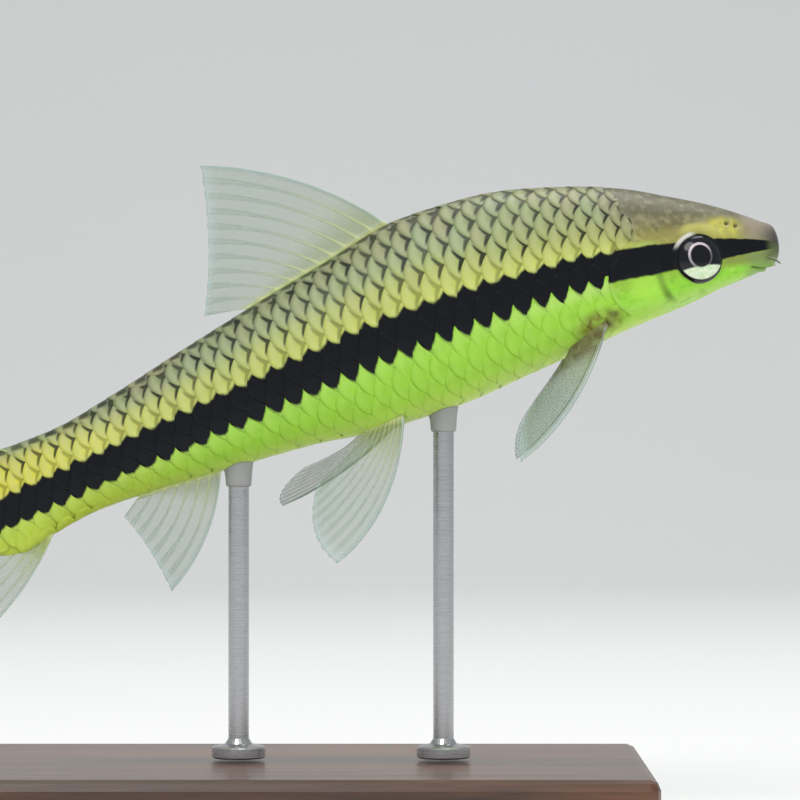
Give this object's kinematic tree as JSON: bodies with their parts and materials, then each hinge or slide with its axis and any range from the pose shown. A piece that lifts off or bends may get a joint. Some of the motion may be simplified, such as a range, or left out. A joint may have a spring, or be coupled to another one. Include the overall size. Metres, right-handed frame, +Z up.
{
  "type": "siamese algae eater fish model",
  "caption": "Life-size still model of a siamese algae eater, swimming nose up with fins spread, held over a flat wooden base by two steel rods.",
  "frame": {"origin": "middle of the underside of the stand's base, which is also the bottom centre of the bounding box", "axes": "+X towards the snout, +Y towards the fish's left side, +Z up"},
  "size_m": [0.0973, 0.042, 0.0636],
  "materials": {
    "skin_head": "moist olive skin over the head, with a dark band through the eye",
    "skin_body": "wet scales, olive above, lime below, with one black stripe",
    "skin_cheek": "smooth moist lime gill cover",
    "eye": "clear glossy cornea over a dark iris with a silver rim",
    "barbel": "soft grey feeler",
    "fin": "clear membrane over pale rays",
    "wood": "satin varnished dark wood",
    "steel": "satin steel"
  },
  "bodies": {
    "root": {"head": "skin_head", "trunk": "skin_body", "tail": "skin_body", "gill_cover_left": "skin_cheek", "gill_cover_right": "skin_cheek", "eye_left": "eye", "eye_right": "eye", "barbel_left": "barbel", "barbel_right": "barbel", "dorsal_fin": "fin", "anal_fin": "fin", "tail_fin_upper": "fin", "tail_fin_lower": "fin", "pelvic_fin_left": "fin", "pelvic_fin_right": "fin", "pectoral_fin_left": "fin", "pectoral_fin_right": "fin", "stand_base": "wood", "stand_rod_front": "steel", "stand_rod_rear": "steel"}
  },
  "joints": []
}
